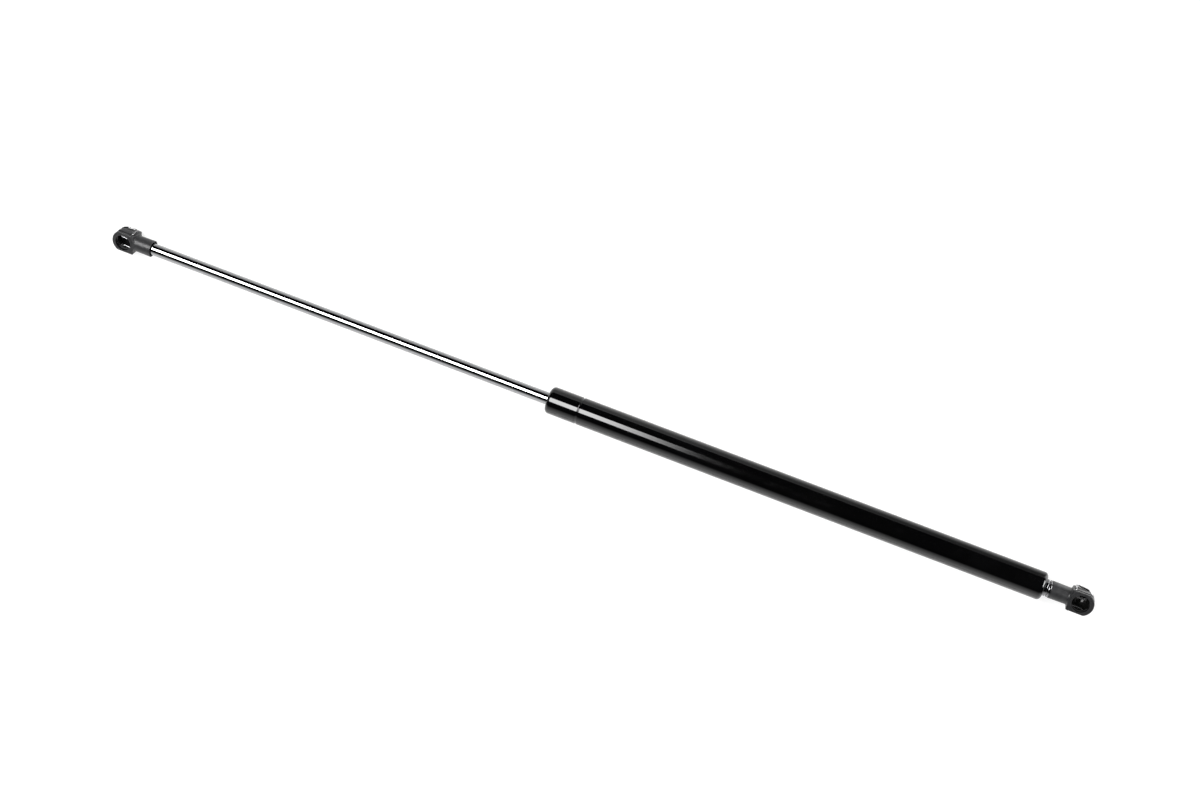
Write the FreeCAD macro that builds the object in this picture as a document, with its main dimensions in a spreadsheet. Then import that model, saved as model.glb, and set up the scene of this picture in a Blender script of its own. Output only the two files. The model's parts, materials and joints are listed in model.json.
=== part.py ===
"""Gas strut stay: a pressure tube and a piston rod between two clipped ball sockets.

Frame: the origin is the ball centre of the tube's socket, +X runs along the strut towards the
rod's socket and +Z leaves the mouth of the tube's socket. All sizes are in millimetres.
"""
import FreeCAD, Part
import math
import os
import re

import Sketcher

Vector = FreeCAD.Vector

# name, value, what it is
SIZES = (
    # pressure tube
    ("tube_radius", 9.0, "outside radius of the pressure tube"),
    ("tube_wall", 1.5, "wall of the pressure tube"),
    ("tube_mouth", 5.6, "radius of the opening left by each rolled-in end"),
    ("end_flat", 0.8, "flat left round the mouth inside the rounded corner"),
    ("crimp_tool", 0.8, "radius of the roller that makes the crimp"),
    ("crimp_depth", 0.42, "depth of the crimp in the outside of the tube"),
    # travel
    ("stroke_long", 270.0, "stroke of the rod"),
    ("rod_left_out", 16.5, "bare rod left between tube and socket when closed"),
    ("end_room", 9.4, "gas room behind the piston when closed"),
    ("stop_gap", 0.3, "gap between buffer and seal package when open"),
    # seal package at the front of the tube
    ("cap_thick", 1.0, "front cap washer"),
    ("guide_long", 9.4, "rod guide"),
    ("bush_wall", 1.0, "wall of the rod guide's bush"),
    ("bush_inset", 0.6, "step of the guide behind the bush"),
    ("seal_long", 7.0, "rod seal"),
    ("seal_cup", 2.6, "depth of the lip groove in the rod seal"),
    ("seal_cup_mouth", 1.8, "width of the lip groove at its mouth"),
    ("seal_cup_floor", 0.6, "width of the lip groove at its floor"),
    ("seal_ring_thick", 1.5, "support ring behind the rod seal"),
    # rear closure
    ("plug_long", 8.0, "end plug"),
    ("plug_groove", 2.2, "width of the end plug's seal groove"),
    ("plug_groove_deep", 1.6, "depth of the end plug's seal groove"),
    ("stud_core", 3.0, "radius of the stud where it passes through the plug"),
    ("stud_head", 4.6, "radius of the stud's riveted head"),
    ("stud_head_thick", 1.5, "thickness of the stud's riveted head"),
    ("collar_play", 0.15, "radial gap between the stud's collar and the tube's mouth"),
    ("collar_groove", 0.5, "width of the groove between the collar's two rings"),
    ("collar_groove_deep", 0.8, "depth of the groove between the collar's rings"),
    ("collar_round", 0.6, "rounding of the collar rings"),
    ("collar_gap", 4.0, "distance from the tube's rear face to its socket"),
    # rod and piston package
    ("rod_radius", 4.0, "radius of the piston rod"),
    ("spigot_radius", 3.0, "radius of the rod's end inside the piston"),
    ("rivet_radius", 4.4, "radius of the rod's riveted head"),
    ("rivet_thick", 1.4, "thickness of the rod's riveted head"),
    ("buffer_long", 7.0, "rebound buffer"),
    ("buffer_room", 1.1, "gap between the rebound buffer and the tube"),
    ("front_washer_thick", 1.2, "washer in front of the piston"),
    ("piston_long", 9.0, "piston"),
    ("piston_play", 0.15, "gap between the piston and the tube"),
    ("ring_wide", 3.0, "width of the piston ring"),
    ("ring_thick", 1.2, "radial thickness of the piston ring"),
    ("port_radius", 0.6, "radius of a damping port through the piston"),
    ("disc_thick", 0.5, "valve disc"),
    ("disc_lap", 0.6, "how far the valve disc reaches past the ports"),
    ("back_washer_thick", 1.5, "washer behind the valve disc"),
    ("washer_room", 1.0, "gap between the piston washers and the tube"),
    # fits
    ("running_play", 0.03, "radial play of a running fit"),
    ("seat_play", 0.03, "radial play of a piece seated in the tube or on the rod"),
    ("open_play", 0.4, "radial play of a washer round the rod"),
    # ball sockets
    ("ball_radius", 5.0, "radius of the ball that the socket takes"),
    ("ball_play", 0.1, "radial play between ball and seat"),
    ("mouth_play", 0.5, "radial play between ball and mouth"),
    ("lip_thick", 1.3, "thickness of the lip in front of the clip slots"),
    ("rim_high", 0.3, "height of the raised rim round the mouth"),
    ("rim_wide", 0.9, "width of the raised rim"),
    ("side_wall", 2.0, "wall between the seat and the head's straight sides"),
    ("tip_swell", 1.1, "how much further out the round tip lies than the sides"),
    ("tip_blend", 2.0, "rounding where the round tip meets the straight sides"),
    ("shoulder_wall", 2.2, "wall between the seat and the head's shoulder"),
    ("head_corner", 0.5, "rounding of the head's shoulder corners"),
    ("front_wall", 0.3, "how far the head's front face lies in front of the ball"),
    ("head_edge", 0.6, "rounding of the edge round the head's front face"),
    ("back_wall", 1.5, "wall between the seat and the head's back face"),
    ("waist_depth", 3.4, "depth of the head's waist behind the ball centre"),
    ("side_draft", 0.3, "how far the sides are drafted in down to the waist"),
    ("tip_draft", 1.2, "how far the round tip is drafted in down to the waist"),
    ("back_inset", 1.5, "how far the back face lies inside the waist"),
    ("neck_reach", 19.4, "distance from the ball centre to the neck's end"),
    ("neck_wall", 1.55, "neck wall round the thread, at the head"),
    ("neck_flare", 1.2, "fillet between neck and head"),
    ("neck_bell", 1.4, "depth of the recess in the neck's end"),
    ("bell_room", 0.9, "radial room round the thread in the recess"),
    ("bell_wall", 0.8, "neck wall round the recess"),
    ("thread_radius", 3.9, "radius of the stud and rod ends in the socket"),
    ("thread_long", 11.0, "length of the stud and rod ends in the socket"),
    ("thread_room", 0.8, "room left past the thread's end"),
    # safety clips
    ("wire_radius", 0.55, "radius of the clip wire"),
    ("wire_play", 0.2, "gap between the clip's bow and the floor of its groove"),
    ("wire_bend", 1.2, "bend radius of the clip wire"),
    ("bow_depth", 2.9, "depth of the clip's bow behind the ball centre"),
    ("bow_sink", 0.2, "how far the clip's bow lies inside the head's round tip"),
    ("side_play", 0.23, "gap between the clip's arms and the head's sides"),
    ("leg_half", 2.9, "distance from the socket's axis to a clip leg"),
    ("leg_lean", 17.0, "angle at which a leg's bowed ends lean out, in degrees"),
    ("leg_past", 2.3, "how far a leg reaches past the ball centre"),
    ("leg_entry", 5.6, "distance from the ball centre to where a leg enters"),
    ("slot_play", 0.25, "gap on each side of a clip leg in its slot"),
    ("clip_travel", 2.2, "how far the clip is pulled back to let the ball go"),
    # how the sockets are turned to each other
    ("socket_roll", 15.5, "angle of the rod's socket about the strut, in degrees"),
)
NAMES = {name for name, value, note in SIZES}

doc = FreeCAD.newDocument("gas_strut_stay")
sheet = doc.addObject("Spreadsheet::Sheet", "Sizes")
for row, (name, value, note) in enumerate(SIZES, start=1):
    sheet.set(f"A{row}", note)
    sheet.set(f"B{row}", str(value))
    sheet.setAlias(f"B{row}", name)
doc.recompute()


def cell(text):
    """The expression for a sum of named sizes, as the spreadsheet knows them."""
    return re.sub(r"[a-z_]+", lambda m: "Sizes." + m.group() if m.group() in NAMES else m.group(), text)


def size(name):
    """The value of one named size."""
    return float(sheet.get(name))


# stations along the strut, as sums of named sizes
TUBE_BORE = "(tube_radius - tube_wall)"
SEAT = f"({TUBE_BORE} - seat_play)"
TUBE_REAR = "(neck_reach + collar_gap)"
PLUG_REAR = f"({TUBE_REAR} + tube_wall)"
PLUG_FRONT = f"({PLUG_REAR} + plug_long)"
ROD_REAR = f"({PLUG_FRONT} + stud_head_thick + end_room + stroke_long)"
BACK_WASHER = f"({ROD_REAR} + rivet_thick)"
VALVE_DISC = f"({BACK_WASHER} + back_washer_thick)"
PISTON = f"({VALVE_DISC} + disc_thick)"
FRONT_WASHER = f"({PISTON} + piston_long)"
BUFFER = f"({FRONT_WASHER} + front_washer_thick)"
SEAL_RING = f"({BUFFER} + buffer_long + stop_gap)"
SEAL = f"({SEAL_RING} + seal_ring_thick)"
GUIDE = f"({SEAL} + seal_long)"
CAP = f"({GUIDE} + guide_long)"
CAP_FRONT = f"({CAP} + cap_thick)"
TUBE_FRONT = f"({CAP_FRONT} + tube_wall)"
ROD_SOCKET_END = f"({TUBE_FRONT} + stroke_long + rod_left_out)"
ROD_BALL = f"({ROD_SOCKET_END} + neck_reach)"
CRIMP_CENTRE_R = "(tube_radius + crimp_tool - crimp_depth)"
BEAD_R = "(crimp_tool + tube_wall)"
BEAD_HALF = f"sqrt({BEAD_R}^2 - ({CRIMP_CENTRE_R} - {TUBE_BORE})^2)"
CRIMP = f"({SEAL_RING} - {BEAD_HALF})"
# radii that follow from other sizes
TUBE_CORNER = "(tube_radius - end_flat - tube_mouth)"
COLLAR_R = "(tube_mouth - collar_play)"
COLLAR_FLOOR = f"({COLLAR_R} - collar_groove_deep)"
ON_ROD = "(rod_radius + running_play)"
GUIDE_BORE = f"({ON_ROD} + bush_wall + seat_play)"
RING_BACK = f"({TUBE_BORE} - running_play - ring_thick)"
RING_FLOOR = f"({RING_BACK} - running_play)"
ON_SPIGOT = "(spigot_radius + seat_play)"
PORT_CIRCLE = f"(({ON_SPIGOT} + {RING_FLOOR})/2)"
WASHER_R = f"({TUBE_BORE} - washer_room)"
# the socket's head, from its ball centre
SEAT_R = "(ball_radius + ball_play)"
MOUTH_R = "(ball_radius + mouth_play)"
HEAD_HALF = f"({SEAT_R} + side_wall)"
HEAD_TIP = f"({HEAD_HALF} + tip_swell)"
HEAD_SHOULDER = f"({SEAT_R} + shoulder_wall)"
HEAD_FRONT = "(ball_radius + front_wall)"
HEAD_BACK = f"({SEAT_R} + back_wall)"
NECK_ROOT = "(thread_radius + neck_wall)"
FLARE_END = f"({HEAD_SHOULDER} + neck_flare)"
THREAD_BORE = "(thread_radius + seat_play)"
BELL_R = "(thread_radius + bell_room)"
SLOT_FRONT = f"({HEAD_FRONT} - lip_thick)"
SLOT_PAST = "(leg_past + clip_travel + 2*slot_play)"

ORIGIN_POINT = (-1, 1)
X_AXIS_LINE = -1
Y_AXIS_LINE = -2


def new_body(label):
    body = doc.addObject("PartDesign::Body", label)
    body.Label = label
    return body


def origin_feature(body, role):
    return next(feature for feature in body.Origin.OriginFeatures if feature.Role == role)


def new_sketch(body, name, plane="XY_Plane", offset=None):
    """A sketch on one of the body's own planes; offset is its height over the plane."""
    sketch = body.newObject("Sketcher::SketchObject", f"{body.Name}_{name}")
    sketch.AttachmentSupport = [(origin_feature(body, plane), "")]
    sketch.MapMode = "FlatFace"
    if offset:
        sketch.setExpression("AttachmentOffset.Base.z", cell(offset))
    return sketch


def bind(sketch, kind, edge, end, text):
    """Adds a dimension at its drawn value and ties it to the spreadsheet; a radius has no end."""
    if kind == "Radius":
        constraint = Sketcher.Constraint(kind, edge, sketch.Geometry[edge].Radius)
    else:
        point = sketch.getPoint(edge, end)
        constraint = Sketcher.Constraint(kind, edge, end, point.x if kind == "DistanceX" else point.y)
    index = sketch.addConstraint(constraint)
    sketch.setExpression(f"Constraints[{index}]", cell(text))


def place(sketch, edge, end, across, up):
    """Fixes one end of an edge at (across, up); a "0" ties it to the axis itself."""
    for text, kind, line in ((across, "DistanceX", Y_AXIS_LINE), (up, "DistanceY", X_AXIS_LINE)):
        if text == "0":
            sketch.addConstraint(Sketcher.Constraint("PointOnObject", edge, end, line))
        else:
            bind(sketch, kind, edge, end, text)


def polygon(sketch, points):
    """A closed outline of straight edges through (across, up) points; edge i starts at point i."""
    count = len(points)
    corner = [Vector(1 + i, 1 + i * i % 7, 0) for i in range(count)]
    for i in range(count):
        sketch.addGeometry(Part.LineSegment(corner[i], corner[(i + 1) % count]), False)
    for i, (across, up) in enumerate(points):
        sketch.addConstraint(Sketcher.Constraint("Coincident", (i - 1) % count, 2, i, 1))
        place(sketch, i, 1, across, up)


def circle(sketch, across, up, radius):
    """A circle of a named radius round the point (across, up)."""
    edge = sketch.addGeometry(Part.Circle(), False)
    place(sketch, edge, 3, across, up)
    bind(sketch, "Radius", edge, None, radius)


def finish_feature(body, feature):
    body.Tip = feature
    doc.recompute()
    return feature


def revolve(body, sketch, kind="PartDesign::Revolution", axis="H_Axis"):
    feature = body.newObject(kind, f"{sketch.Name}_turn")
    feature.Profile = sketch
    feature.ReferenceAxis = (sketch, [axis])
    feature.Angle = 360.0
    return finish_feature(body, feature)


def turned(body, name, points, kind="PartDesign::Revolution"):
    """Turns a profile of (station along X, radius) points about the X axis."""
    sketch = new_sketch(body, name)
    polygon(sketch, points)
    return sketch, revolve(body, sketch, kind)


def rim_edges(feature, sketch, corners):
    """Names of the circular edges that the profile's given corners have swept."""
    names = []
    for corner in corners:
        point = sketch.Geometry[corner].StartPoint
        for number, edge in enumerate(feature.Shape.Edges, start=1):
            curve = edge.Curve
            if not isinstance(curve, Part.Circle):
                continue
            if abs(curve.Radius - point.y) < 1e-4 and abs(curve.Center.x - point.x) < 1e-4:
                names.append(f"Edge{number}")
    return names


def soften(body, feature, edges, amount, kind="PartDesign::Fillet"):
    """A fillet or chamfer of a named amount on edges of the body so far."""
    assert edges, f"{body.Label} has no such edge"
    dress = body.newObject(kind, f"{body.Name}_edge{len(body.Group)}")
    dress.Base = (feature, edges)
    dress.setExpression("Radius" if kind == "PartDesign::Fillet" else "Size", cell(amount))
    return finish_feature(body, dress)


def ring(label, rear, front, inner, outer):
    """A plain ring between two stations and two radii."""
    body = new_body(label)
    turned(body, "section", [(rear, inner), (rear, outer), (front, outer), (front, inner)])
    return body


def make_pressure_tube():
    """Drawn tube, rolled in at both ends, with a crimp that holds the seal package."""
    body = new_body("pressure_tube")
    outer, bore = "tube_radius", TUBE_BORE
    sketch, feature = turned(body, "wall", [
        (TUBE_REAR, "tube_mouth"),
        (TUBE_REAR, outer),
        (TUBE_FRONT, outer),
        (TUBE_FRONT, "tube_mouth"),
        (CAP_FRONT, "tube_mouth"),
        (CAP_FRONT, bore),
        (PLUG_REAR, bore),
        (PLUG_REAR, "tube_mouth"),
    ])
    feature = soften(body, feature, rim_edges(feature, sketch, (1, 2)), TUBE_CORNER)
    bead = new_sketch(body, "bead")
    circle(bead, CRIMP, CRIMP_CENTRE_R, BEAD_R)
    revolve(body, bead)
    turned(body, "bead_trim", [
        (f"({CRIMP} - {BEAD_R})", "tube_radius"),
        (f"({CRIMP} - {BEAD_R})", "(2*tube_radius)"),
        (f"({CRIMP} + {BEAD_R})", "(2*tube_radius)"),
        (f"({CRIMP} + {BEAD_R})", "tube_radius"),
    ], "PartDesign::Groove")
    crimp = new_sketch(body, "crimp")
    circle(crimp, CRIMP, CRIMP_CENTRE_R, "crimp_tool")
    revolve(body, crimp, "PartDesign::Groove")
    return body


def make_end_plug():
    """Plug in the rear of the tube, with a groove for its seal."""
    body = new_body("end_plug")
    groove_rear = f"({PLUG_REAR} + (plug_long - plug_groove)/2)"
    groove_front = f"({groove_rear} + plug_groove)"
    floor = f"({SEAT} - plug_groove_deep)"
    turned(body, "section", [
        (PLUG_REAR, "(stud_core + seat_play)"),
        (PLUG_REAR, SEAT),
        (groove_rear, SEAT),
        (groove_rear, floor),
        (groove_front, floor),
        (groove_front, SEAT),
        (PLUG_FRONT, SEAT),
        (PLUG_FRONT, "(stud_core + seat_play)"),
    ])
    return body


def make_end_plug_seal():
    """Round-section ring squeezed between the plug's groove and the tube."""
    body = new_body("end_plug_seal")
    section = new_sketch(body, "section")
    floor = f"({SEAT} - plug_groove_deep)"
    circle(section, f"({PLUG_REAR} + plug_long/2)", f"(({floor} + {TUBE_BORE})/2)",
           f"(({TUBE_BORE} - {floor})/2)")
    revolve(body, section)
    return body


def make_threaded_stud():
    """Stud riveted into the end plug: head, core, grooved collar and threaded end."""
    body = new_body("threaded_stud")
    thread_end = "(neck_reach - thread_long)"
    groove_rear = "(neck_reach + (collar_gap - collar_groove)/2)"
    groove_front = f"({groove_rear} + collar_groove)"
    sketch, feature = turned(body, "section", [
        (thread_end, "0"),
        (thread_end, "thread_radius"),
        ("neck_reach", "thread_radius"),
        ("neck_reach", COLLAR_R),
        (groove_rear, COLLAR_R),
        (groove_rear, COLLAR_FLOOR),
        (groove_front, COLLAR_FLOOR),
        (groove_front, COLLAR_R),
        (PLUG_REAR, COLLAR_R),
        (PLUG_REAR, "stud_core"),
        (PLUG_FRONT, "stud_core"),
        (PLUG_FRONT, "stud_head"),
        (f"({PLUG_FRONT} + stud_head_thick)", "stud_head"),
        (f"({PLUG_FRONT} + stud_head_thick)", "0"),
    ])
    feature = soften(body, feature, rim_edges(feature, sketch, (3, 4, 7)), "collar_round")
    ends = rim_edges(feature, sketch, (1, -2))
    soften(body, feature, ends, "stud_head_thick/2", "PartDesign::Chamfer")
    return body


def make_seal_package():
    """What the crimp holds in the front of the tube, from the front cap to the support ring."""
    round_rod = "(rod_radius + open_play)"
    cap = ring("front_cap", CAP, CAP_FRONT, round_rod, SEAT)
    guide = new_body("rod_guide")
    turned(guide, "section", [
        (GUIDE, round_rod),
        (GUIDE, SEAT),
        (CAP, SEAT),
        (CAP, GUIDE_BORE),
        (f"({GUIDE} + bush_inset)", GUIDE_BORE),
        (f"({GUIDE} + bush_inset)", round_rod),
    ])
    bush = ring("guide_bush", f"({GUIDE} + bush_inset)", CAP, ON_ROD, f"({ON_ROD} + bush_wall)")
    seal = new_body("rod_seal")
    middle = f"(({ON_ROD} + {SEAT})/2)"
    turned(seal, "section", [
        (SEAL, ON_ROD),
        (SEAL, f"({middle} - seal_cup_mouth/2)"),
        (f"({SEAL} + seal_cup)", f"({middle} - seal_cup_floor/2)"),
        (f"({SEAL} + seal_cup)", f"({middle} + seal_cup_floor/2)"),
        (SEAL, f"({middle} + seal_cup_mouth/2)"),
        (SEAL, SEAT),
        (GUIDE, SEAT),
        (GUIDE, ON_ROD),
    ])
    support = ring("seal_support_ring", SEAL_RING, SEAL, round_rod, SEAT)
    return [cap, guide, bush, seal, support]


def make_piston_rod():
    """Rod with its threaded end in the socket and its stepped, riveted end in the piston."""
    body = new_body("piston_rod")
    thread_end = f"({ROD_SOCKET_END} + thread_long)"
    sketch, feature = turned(body, "section", [
        (ROD_REAR, "0"),
        (ROD_REAR, "rivet_radius"),
        (BACK_WASHER, "rivet_radius"),
        (BACK_WASHER, "spigot_radius"),
        (BUFFER, "spigot_radius"),
        (BUFFER, "rod_radius"),
        (ROD_SOCKET_END, "rod_radius"),
        (ROD_SOCKET_END, "thread_radius"),
        (thread_end, "thread_radius"),
        (thread_end, "0"),
    ])
    ends = rim_edges(feature, sketch, (1, -2))
    soften(body, feature, ends, "rivet_thick/2", "PartDesign::Chamfer")
    return body


def make_piston():
    """Piston with a ring groove and a circle of damping ports."""
    body = new_body("piston")
    land = f"({TUBE_BORE} - piston_play)"
    groove_rear = f"({PISTON} + (piston_long - ring_wide)/2 - running_play)"
    groove_front = f"({PISTON} + (piston_long + ring_wide)/2 + running_play)"
    turned(body, "section", [
        (PISTON, ON_SPIGOT),
        (PISTON, land),
        (groove_rear, land),
        (groove_rear, RING_FLOOR),
        (groove_front, RING_FLOOR),
        (groove_front, land),
        (FRONT_WASHER, land),
        (FRONT_WASHER, ON_SPIGOT),
    ])
    port = new_sketch(body, "port", "YZ_Plane", PISTON)
    circle(port, PORT_CIRCLE, "0", "port_radius")
    pocket = body.newObject("PartDesign::Pocket", "piston_port_cut")
    pocket.Profile = port
    pocket.Reversed = True
    pocket.setExpression("Length", cell("piston_long"))
    finish_feature(body, pocket)
    pattern = body.newObject("PartDesign::PolarPattern", "piston_ports")
    pattern.Originals = [pocket]
    pattern.Axis = (origin_feature(body, "X_Axis"), [""])
    pattern.Angle = 360.0
    pattern.Occurrences = 4
    finish_feature(body, pattern)
    return body


def make_piston_package():
    """The pieces riveted on the rod's stepped end, and the ring that rides in the piston."""
    piston_ring = ring(
        "piston_ring",
        f"({PISTON} + (piston_long - ring_wide)/2)",
        f"({PISTON} + (piston_long + ring_wide)/2)",
        RING_BACK,
        f"({TUBE_BORE} - running_play)",
    )
    return [
        make_piston(),
        piston_ring,
        ring("piston_front_washer", FRONT_WASHER, BUFFER, ON_SPIGOT, WASHER_R),
        ring("valve_disc", VALVE_DISC, PISTON, ON_SPIGOT, f"({PORT_CIRCLE} + port_radius + disc_lap)"),
        ring("piston_back_washer", BACK_WASHER, VALVE_DISC, ON_SPIGOT, WASHER_R),
        ring("rebound_buffer", BUFFER, f"({BUFFER} + buffer_long)", "(rod_radius + seat_play)",
             f"({TUBE_BORE} - buffer_room)"),
    ]


def head_sizes():
    """Half width, tip radius and shoulder distance of the head, as numbers."""
    seat = size("ball_radius") + size("ball_play")
    half = seat + size("side_wall")
    return half, half + size("tip_swell"), seat + size("shoulder_wall")


def head_outline(sketch, side_in=(), tip_in=()):
    """The head from the front: a round tip, two straight sides and a shoulder, all blended.

    side_in and tip_in name the sizes by which the sides and the tip lie inside the full outline.
    """
    side_text = f"({' + '.join(side_in)})" if side_in else "0"
    tip_text = f"({' + '.join(tip_in)})" if tip_in else "0"
    inset = sum(size(name) for name in side_in)
    half, tip, shoulder = head_sizes()
    half, tip = half - inset, tip - sum(size(name) for name in tip_in)
    shoulder -= inset / 4
    blend, corner = size("tip_blend"), size("head_corner")
    across = math.sqrt((tip - blend) ** 2 - (half - blend) ** 2)
    lean = math.asin((half - blend) / (tip - blend))
    right = math.pi / 2

    def arc(x, y, radius, start, end):
        round_arc = Part.Circle(Vector(x, y, 0), Vector(0, 0, 1), radius)
        sketch.addGeometry(Part.ArcOfCircle(round_arc, start, end), False)

    def line(x1, y1, x2, y2):
        sketch.addGeometry(Part.LineSegment(Vector(x1, y1, 0), Vector(x2, y2, 0)), False)

    arc(0, 0, tip, math.pi - lean, math.pi + lean)
    arc(-across, blend - half, blend, math.pi + lean, 3 * right)
    line(-across, -half, shoulder - corner, -half)
    arc(shoulder - corner, corner - half, corner, -right, 0)
    line(shoulder, corner - half, shoulder, half - corner)
    arc(shoulder - corner, half - corner, corner, 0, right)
    line(shoulder - corner, half, -across, half)
    arc(-across, half - blend, blend, right, math.pi - lean)
    joints = ((0, 2, 1, 1), (1, 2, 2, 1), (2, 2, 3, 1), (3, 2, 4, 1),
              (4, 2, 5, 1), (5, 2, 6, 1), (6, 2, 7, 1), (7, 2, 0, 1))
    for joint in joints:
        sketch.addConstraint(Sketcher.Constraint("Tangent", *joint))
    sketch.addConstraint(Sketcher.Constraint("Coincident", 0, 3, *ORIGIN_POINT))
    sketch.addConstraint(Sketcher.Constraint("Horizontal", 2))
    sketch.addConstraint(Sketcher.Constraint("Vertical", 4))
    sketch.addConstraint(Sketcher.Constraint("Horizontal", 6))
    bind(sketch, "Radius", 0, None, f"({HEAD_TIP} - {tip_text})")
    for edge, name in ((1, "tip_blend"), (7, "tip_blend"), (3, "head_corner"), (5, "head_corner")):
        bind(sketch, "Radius", edge, None, name)
    bind(sketch, "DistanceY", 2, 1, f"({side_text} - {HEAD_HALF})")
    bind(sketch, "DistanceY", 6, 1, f"({HEAD_HALF} - {side_text})")
    bind(sketch, "DistanceX", 4, 1, f"({HEAD_SHOULDER} - {side_text}/4)")


def pad(body, sketch, length, reverse=False, kind="PartDesign::Pad"):
    feature = body.newObject(kind, f"{sketch.Name}_run")
    feature.Profile = sketch
    feature.Reversed = reverse
    feature.setExpression("Length", cell(length))
    return finish_feature(body, feature)


def neck_outline(sketch):
    """The neck from its axis outwards, flared where it meets the head's shoulder."""
    shoulder, flare = head_sizes()[2], size("neck_flare")
    root = size("thread_radius") + size("neck_wall")
    end = size("thread_radius") + size("bell_room") + size("bell_wall")
    inside = f"({HEAD_SHOULDER} - neck_flare)"
    top = f"({NECK_ROOT} + neck_flare)"
    corners = [
        Vector(shoulder + flare, root, 0),
        Vector(size("neck_reach"), end, 0),
        Vector(size("neck_reach"), 0, 0),
        Vector(shoulder - flare, 0, 0),
        Vector(shoulder - flare, root + flare, 0),
        Vector(shoulder, root + flare, 0),
    ]
    round_flare = Part.Circle(Vector(shoulder + flare, root + flare, 0), Vector(0, 0, 1), flare)
    sketch.addGeometry(Part.ArcOfCircle(round_flare, math.pi, 1.5 * math.pi), False)
    for start, far in zip(corners, corners[1:]):
        sketch.addGeometry(Part.LineSegment(start, far), False)
    for edge in range(5):
        sketch.addConstraint(Sketcher.Constraint("Coincident", edge, 2, edge + 1, 1))
    sketch.addConstraint(Sketcher.Constraint("Coincident", 5, 2, 0, 1))
    bind(sketch, "Radius", 0, None, "neck_flare")
    place(sketch, 0, 1, HEAD_SHOULDER, top)
    place(sketch, 1, 1, FLARE_END, NECK_ROOT)
    place(sketch, 2, 1, "neck_reach", f"({BELL_R} + bell_wall)")
    place(sketch, 3, 1, "neck_reach", "0")
    place(sketch, 4, 1, inside, "0")
    place(sketch, 5, 1, inside, top)


def make_ball_socket(label):
    """Moulded ball socket, with its ball centre at the origin and its neck along +X."""
    body = new_body(label)
    front = new_sketch(body, "head")
    head_outline(front)
    feature = pad(body, front, HEAD_FRONT)
    height = size("ball_radius") + size("front_wall")
    rim_round = [f"Edge{number}" for number, edge in enumerate(feature.Shape.Edges, start=1)
                 if abs(edge.BoundBox.ZMin - height) < 1e-4]
    soften(body, feature, rim_round, "head_edge")
    wide = new_sketch(body, "parting")
    head_outline(wide)
    waist = new_sketch(body, "waist", "XY_Plane", "(-1*waist_depth)")
    head_outline(waist, ("side_draft",), ("tip_draft",))
    narrow = new_sketch(body, "back", "XY_Plane", f"(-1*{HEAD_BACK})")
    head_outline(narrow, ("side_draft", "back_inset"), ("tip_draft", "back_inset"))
    loft = body.newObject("PartDesign::AdditiveLoft", f"{body.Name}_back_taper")
    loft.Profile = wide
    loft.Sections = [waist, narrow]
    loft.Ruled = True
    finish_feature(body, loft)
    neck = new_sketch(body, "neck")
    neck_outline(neck)
    revolve(body, neck)
    for name, height, reverse in (("trim_front", HEAD_FRONT, True),
                                  ("trim_back", f"(-1*{HEAD_BACK})", False)):
        trim = new_sketch(body, name, "XY_Plane", height)
        polygon(trim, [("0", f"(-2*{HEAD_HALF})"), (FLARE_END, f"(-2*{HEAD_HALF})"),
                       (FLARE_END, f"(2*{HEAD_HALF})"), ("0", f"(2*{HEAD_HALF})")])
        pad(body, trim, HEAD_HALF, reverse, "PartDesign::Pocket")
    rim = new_sketch(body, "rim", "XY_Plane", HEAD_FRONT)
    circle(rim, "0", "0", f"({MOUTH_R} + rim_wide)")
    pad(body, rim, "rim_high")
    cut_seat(body)
    turned(body, "thread_bore", [
        ("(neck_reach - thread_long - thread_room)", "0"),
        ("(neck_reach - thread_long - thread_room)", THREAD_BORE),
        ("(neck_reach - neck_bell)", THREAD_BORE),
        ("(neck_reach - neck_bell)", BELL_R),
        ("(neck_reach + neck_bell)", BELL_R),
        ("(neck_reach + neck_bell)", "0"),
    ], "PartDesign::Groove")
    cut_clip_slots(body)
    cut_bow_groove(body)
    return body


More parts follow.
